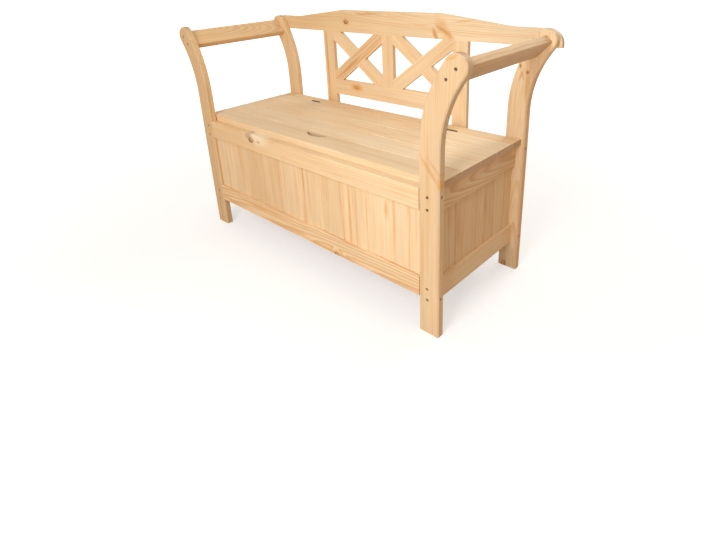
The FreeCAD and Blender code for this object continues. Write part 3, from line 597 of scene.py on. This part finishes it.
# backrest
backLook = {
    # crest rail: warmer and darker towards the left end, painted shade where the light falls off
    "crest_rail": {"lie": "alongFront", "seed": 81, "pith": (36, 44), "base": "blond", "warm": (1.0, 0.0),
                   "late": 0.7, "tone": (-0.05, 0.03), "taper": 0.03,
                   "knots": [{"at": (-0.2116, 0.229, 0.7927), "size": 9, "swirl": 1.5, "halo": 0.35},
                             streak((0.247, 0.229, 0.789), 19, 32, "streak", 0.65, -58),
                             streak((0.243, 0.229, 0.768), 9, 12, "blond", 0.5, 20),
                             streak((0.218, 0.229, 0.767), 7, 21, "resin", 0.85, -64),
                             streak((0.250, 0.229, 0.783), 5, 30, "resin", 0.65, -27),
                             streak((0.276, 0.229, 0.766), 9, 18, "amber", 0.7, -40),
                             streak((-0.10, 0.229, 0.826), 4, 60, "resin", 0.55, 3),
                             streak((0.336, 0.229, 0.816), 3, 34, "streak", 0.6, 7),
                             streak((0.153, 0.229, 0.794), 3, 24, "streak", 0.4, -2)]},
    # lattice rail: warmer towards the left end, painted shade where the light falls off
    "lattice_rail": {"lie": "alongFront", "seed": 82, "pith": (48, 94), "base": "blond", "warm": (0.6, 0.05),
                     "late": 0.35,
                     "knots": [{"at": (-0.1689, 0.229, 0.5362), "size": 7.5, "drawn": 0.45, "dark": 0.5,
                                "stain": "amber", "halo": 0.9}]},
    "centre_mullion": {"lie": "uprightFront", "seed": 83, "pith": (44, -80), "warm": 0.45, "late": 0.4},
    "right_upright": {"lie": "uprightFront", "seed": 84, "pith": (40, 84), "warm": 0.2, "late": 0.4},
    "left_upright": {"lie": "uprightFront", "seed": 85, "pith": (30, 40), "warm": 0.6, "late": 0.6,
                     "knots": [streak((-0.3318, 0.229, 0.62), 4, 150, "resin", 0.75)]},
}
for piece, look in backLook.items():
    dressTimber(piece, **look)

latticeLook = {
    "right_rising_diagonal": {"rise": 1, "seed": 91, "warm": 0.15},
    "right_falling_diagonal": {"rise": -1, "seed": 92, "warm": 0.3},
    "left_rising_diagonal": {"rise": 1, "seed": 93, "warm": 0.6, "late": 0.9, "streaks": 0.9,
                             "grain": "resin",
                             "knots": [streak((-0.203, 0.229, 0.620), 6, 62, "resin", 0.8)]},
    "left_falling_diagonal": {"rise": -1, "seed": 94, "warm": 0.35},
}
for bar, look in latticeLook.items():
    low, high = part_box(bar)
    slope = math.degrees(math.atan2(high.z - low.z, high.x - low.x)) * look["rise"]
    dressTimber(bar, lie=(0, slope, 0), pith=(34, 58), **look)
print("pine timbers dressed")

# chest floor in thin plywood: wide rotary cut figure
floorLook = {"lie": "flatAlong", "pith": (12, 40), "ring": 9.0, "waver": 90.0, "late": 0.45, "warm": 1.0,
             "streaks": 0.5, "tone": -0.22}
for panel, seed in (("right_floor_panel", 101), ("left_floor_panel", 102)):
    dressTimber(panel, seed=seed, **floorLook)


steelFinish = {"metallic": 0.5, "specular": 0.25, "wornWidth": 0.0006, "wornPaler": 0.3, "bump": 0.2,
               "bumpDepth": 0.0002}


# steel of hinges and screws, browned and dull; for the hinges the dark colours also paint the shade of the
# recess they sit in
def steelMaterial(name, bright, dark):
    material = bpy.data.materials.new(name)
    material.use_nodes = True
    tree = material.node_tree
    shader = tree.nodes["Principled BSDF"]
    where = tree.nodes.new("ShaderNodeTexCoord")
    mapping = tree.nodes.new("ShaderNodeMapping")
    mapping.inputs["Scale"].default_value = (millimetres, millimetres, millimetres)
    plug(tree, where.outputs["Object"], mapping.inputs["Vector"])
    spots = noise(tree, mapping.outputs[0], scale=0.35, detail=4, rough=0.65).outputs[0]
    combed = vectorMaths(tree, "MULTIPLY", mapping.outputs[0], (0.2, 4.0, 4.0))
    brushed = noise(tree, combed, detail=2).outputs[0]
    worn = placeGroup(tree, edgeWear, width=steelFinish["wornWidth"], timber=mapping.outputs[0])["mask"]
    colour = blendColours(tree, ramp(tree, spots, 0.4, 0.68), bright, dark)
    colour = blendColours(tree, worn, colour, mixOf(bright, (1, 1, 1, 1), steelFinish["wornPaler"]))
    plug(tree, colour, shader.inputs["Base Color"])
    shader.inputs["Metallic"].default_value = steelFinish["metallic"]
    shader.inputs["Specular IOR Level"].default_value = steelFinish["specular"]
    plug(tree, maths(tree, "MULTIPLY_ADD", spots, 0.3, 0.45), shader.inputs["Roughness"])
    bump = tree.nodes.new("ShaderNodeBump")
    bump.inputs["Strength"].default_value = steelFinish["bump"]
    bump.inputs["Distance"].default_value = steelFinish["bumpDepth"]
    plug(tree, brushed, bump.inputs["Height"])
    plug(tree, bump.outputs[0], shader.inputs["Normal"])
    return material


# hinge colours near black: browned steel together with painted shade of the hinge recess
hingeSteelAndRecessShade = steelMaterial("hingeSteelAndRecessShade", (0.15, 0.08, 0.036, 1), (0.065, 0.034, 0.016, 1))
screwZinc = steelMaterial("screwZinc", (0.25, 0.125, 0.056, 1), (0.12, 0.058, 0.026, 1))
for side in ("right", "left"):
    for leaf in ("hinge_fixed_leaf", "hinge_lid_leaf", "hinge_pin"):
        dress(side + "_" + leaf, hingeSteelAndRecessShade)


# countersunk screws: a shallow dome with a cross recess, sizes as shares of the head's radius
screwShape = {"spokes": 24, "rings": (0.0, 0.2, 0.4, 0.62, 0.84, 1.0), "dome": 0.16, "crossWide": 0.13,
              "crossReach": 0.67, "crossDeep": 0.42, "neckWide": 0.55, "neckDeep": 0.7}


def addScrewHead(bm, place, facing, radius):
    spokes = screwShape["spokes"]
    turn = Vector(facing).to_track_quat("Z", "Y").to_matrix()

    def corner(spoke, reach, height=None):
        angle = math.tau * spoke / spokes
        x, y = reach * math.cos(angle), reach * math.sin(angle)
        if height is None:
            height = screwShape["dome"] * (1 - reach * reach)
            if min(abs(x), abs(y)) < screwShape["crossWide"] and reach < screwShape["crossReach"]:
                height -= screwShape["crossDeep"] * (1 - reach * 0.5)
        return bm.verts.new(Vector(place) + turn @ Vector((x, y, height)) * radius)

    loops = []
    for ring in screwShape["rings"]:
        loops.append([corner(spoke, ring) for spoke in range(1 if ring == 0 else spokes)])
    neck = [corner(spoke, screwShape["neckWide"], -screwShape["neckDeep"]) for spoke in range(spokes)]
    loops.append(neck)
    for spoke in range(spokes):
        after = (spoke + 1) % spokes
        bm.faces.new((loops[0][0], loops[1][spoke], loops[1][after]))
        for inner, outer in zip(loops[1:], loops[2:]):
            bm.faces.new((inner[spoke], outer[spoke], outer[after], inner[after]))
    bm.faces.new(list(reversed(neck)))


# all screws of one group in one mesh
def screwGroup(name, body, heads, radius):
    bm = bmesh.new()
    for place, facing in heads:
        addScrewHead(bm, place, facing, radius)
    mesh = bpy.data.meshes.new(name)
    bm.to_mesh(mesh)
    bm.free()
    mesh.materials.append(screwZinc)
    piece = bpy.data.objects.new(name, mesh)
    scene.collection.objects.link(piece)
    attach(piece, body)


postScrews = {"sunk": 0.0048, "radius": 0.0042, "faceX": 0.5395, "faceZ": (0.431, 0.395, 0.149, 0.113),
              "edgeX": 0.578, "edgeInset": 0.0125, "edgeZ": (0.439, 0.127),
              "arm": ((0.6188, 0.7713), (0.5929, 0.7449))}
heads = []
for sign, side in ((1, "right"), (-1, "left")):
    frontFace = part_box(side + "_front_post")[0].y
    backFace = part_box(side + "_rear_post")[1].y
    frontY, rearY = frontFace + postScrews["sunk"], backFace - postScrews["sunk"]
    for z in postScrews["faceZ"]:
        heads.append(((sign * postScrews["faceX"], frontY, z), (0, -1, 0)))
        heads.append(((sign * postScrews["faceX"], rearY, z), (0, 1, 0)))
    for x, z in postScrews["arm"]:
        heads.append(((sign * x, frontY, z), (0, -1, 0)))
    for z in postScrews["edgeZ"]:
        outer = sign * (postScrews["edgeX"] - postScrews["sunk"])
        heads.append(((outer, frontFace + postScrews["edgeInset"], z), (sign, 0, 0)))
        heads.append(((outer, backFace - postScrews["edgeInset"], z), (sign, 0, 0)))
screwGroup("postScrews", "frame", heads, postScrews["radius"])

battenScrews = {"radius": 0.0038, "proud": 0.0001, "stagger": 0.009, "inset": 0.026}
heads = []
for batten in battenLook:
    low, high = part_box(batten)
    middle = (low.x + high.x) / 2
    for board in ("lid_front_board", "lid_second_board", "lid_third_board", "lid_rear_board"):
        boardLow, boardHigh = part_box(board)
        start, end = max(boardLow.y, low.y), min(boardHigh.y, high.y)
        for y, step in ((start + battenScrews["inset"], -1), (end - battenScrews["inset"], 1)):
            x = middle + step * battenScrews["stagger"]
            heads.append(((x, y, low.z - battenScrews["proud"]), (0, 0, -1)))
screwGroup("battenScrews", "lid", heads, battenScrews["radius"])

backScrews = {"radius": 0.0042, "proud": 0.0002, "crest": ((0.600, 0.770), (0.630, 0.788)),
              "upright": ((-0.013, 0.432), (0.013, 0.406))}
heads = []
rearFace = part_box("crest_rail")[1].y + backScrews["proud"]
for sign in (1, -1):
    for x, z in backScrews["crest"]:
        heads.append(((sign * x, rearFace, z), (0, 1, 0)))
for upright in ("right_upright", "left_upright"):
    low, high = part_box(upright)
    middle = (low.x + high.x) / 2
    for x, z in backScrews["upright"]:
        heads.append(((middle + x, rearFace, z), (0, 1, 0)))
screwGroup("backScrews", "frame", heads, backScrews["radius"])
print("hinges and screws in place")

# floor and soft light
studio = {"floorRadius": 40, "floorDrop": 0.0005, "whiteFrom": 0.9, "whiteTo": 3.2,
          "paper": (0.55, 0.55, 0.55, 1), "bounce": (0.56, 0.42, 0.30, 1), "glow": 0.55, "farGlow": 1.0,
          "zenith": (0.66, 0.615, 0.56, 1), "horizon": (0.29, 0.20, 0.12, 1), "lampAim": (0, 0, 0.4),
          "key": {"at": (0.8, -2.2, 1.35), "size": (0.9, 2.4), "power": 43.0},
          "rear": {"at": (0.6, 4.6, 3.4), "size": (3.0, 2.0), "power": 90.0}}
bm = bmesh.new()
bmesh.ops.create_circle(bm, cap_ends=True, segments=96, radius=studio["floorRadius"])
floorMesh = bpy.data.meshes.new("studioFloor")
bm.to_mesh(floorMesh)
bm.free()
studioFloor = bpy.data.objects.new("studioFloor", floorMesh)
studioFloor.location.z = -studio["floorDrop"]
scene.collection.objects.link(studioFloor)


def seenDirectly(tree):
    path = tree.nodes.new("ShaderNodeLightPath")
    eye = maths(tree, "MAXIMUM", path.outputs["Is Camera Ray"], path.outputs["Is Glossy Ray"])
    return maths(tree, "MAXIMUM", eye, path.outputs["Is Transmission Ray"])


# pale paper that goes to plain white away from the bench
floorPaper = bpy.data.materials.new("floorPaper")
floorPaper.use_nodes = True
tree = floorPaper.node_tree
tree.nodes.remove(tree.nodes["Principled BSDF"])
where = tree.nodes.new("ShaderNodeTexCoord")
distance = vectorMaths(tree, "LENGTH", where.outputs["Object"])
away = ramp(tree, distance, studio["whiteFrom"], studio["whiteTo"])
seen = seenDirectly(tree)
paper = tree.nodes.new("ShaderNodeBsdfDiffuse")
plug(tree, blendColours(tree, seen, studio["bounce"], studio["paper"]), paper.inputs["Color"])
glow = tree.nodes.new("ShaderNodeEmission")
level = maths(tree, "MULTIPLY_ADD", away, studio["farGlow"] - studio["glow"], studio["glow"])
plug(tree, maths(tree, "MULTIPLY", seen, level), glow.inputs["Strength"])
both = tree.nodes.new("ShaderNodeAddShader")
plug(tree, paper.outputs[0], both.inputs[0])
plug(tree, glow.outputs[0], both.inputs[1])
plug(tree, both.outputs[0], tree.nodes["Material Output"].inputs["Surface"])
floorMesh.materials.append(floorPaper)

# air that is white to the eye and warm and dim to the timber, brighter overhead
world = bpy.data.worlds.new("studioWorld")
scene.world = world
world.use_nodes = True
tree = world.node_tree
where = tree.nodes.new("ShaderNodeTexCoord")
skyward = tree.nodes.new("ShaderNodeSeparateXYZ")
plug(tree, where.outputs["Generated"], skyward.inputs[0])
air = blendColours(tree, ramp(tree, skyward.outputs[2], 0.1, 0.9), studio["horizon"], studio["zenith"])
seenAir = blendColours(tree, seenDirectly(tree), air, (1, 1, 1, 1))
plug(tree, seenAir, tree.nodes["Background"].inputs["Color"])


def softbox(name, at, size, power):
    lamp = bpy.data.lights.new(name, "AREA")
    lamp.shape, lamp.energy = "RECTANGLE", power
    lamp.size, lamp.size_y = size
    holder = bpy.data.objects.new(name, lamp)
    holder.location = at
    holder.rotation_euler = (Vector(at) - Vector(studio["lampAim"])).to_track_quat("Z", "Y").to_euler()
    scene.collection.objects.link(holder)


softbox("keyLight", **studio["key"])
softbox("rearLight", **studio["rear"])

# camera, solved from the corners of the bench in the picture
shot = {"azimuth": 44.167, "elevation": 21.524, "roll": -2.711, "distance": 1.7769,
        "aim": (0.0936, 0.002, 0.3429), "focal": 500.65, "centre": (368.0, 163.0), "frame": (716, 540),
        "sensor": 36.0}
turn, rise, tilt = (math.radians(shot[k]) for k in ("azimuth", "elevation", "roll"))
back = Vector((math.sin(turn) * math.cos(rise), -math.cos(turn) * math.cos(rise), math.sin(rise)))
right = Vector((math.cos(turn), math.sin(turn), 0))
up = back.cross(right)
across = right * math.cos(tilt) + up * math.sin(tilt)
upward = up * math.cos(tilt) - right * math.sin(tilt)
lens = bpy.data.cameras.new("benchCamera")
wide, tall = shot["frame"]
lens.sensor_width = shot["sensor"]
lens.lens = shot["focal"] / wide * shot["sensor"]
lens.shift_x = (wide / 2 - shot["centre"][0]) / wide
lens.shift_y = (shot["centre"][1] - tall / 2) / wide
lens.clip_start, lens.clip_end = 0.01, 200.0
camera = bpy.data.objects.new("benchCamera", lens)
stand = Matrix.Translation(Vector(shot["aim"]) + back * shot["distance"])
camera.matrix_world = stand @ Matrix((across, upward, back)).transposed().to_4x4()
scene.collection.objects.link(camera)
scene.camera = camera
scene.view_settings.view_transform = "Standard"
print("studio, light and camera set")
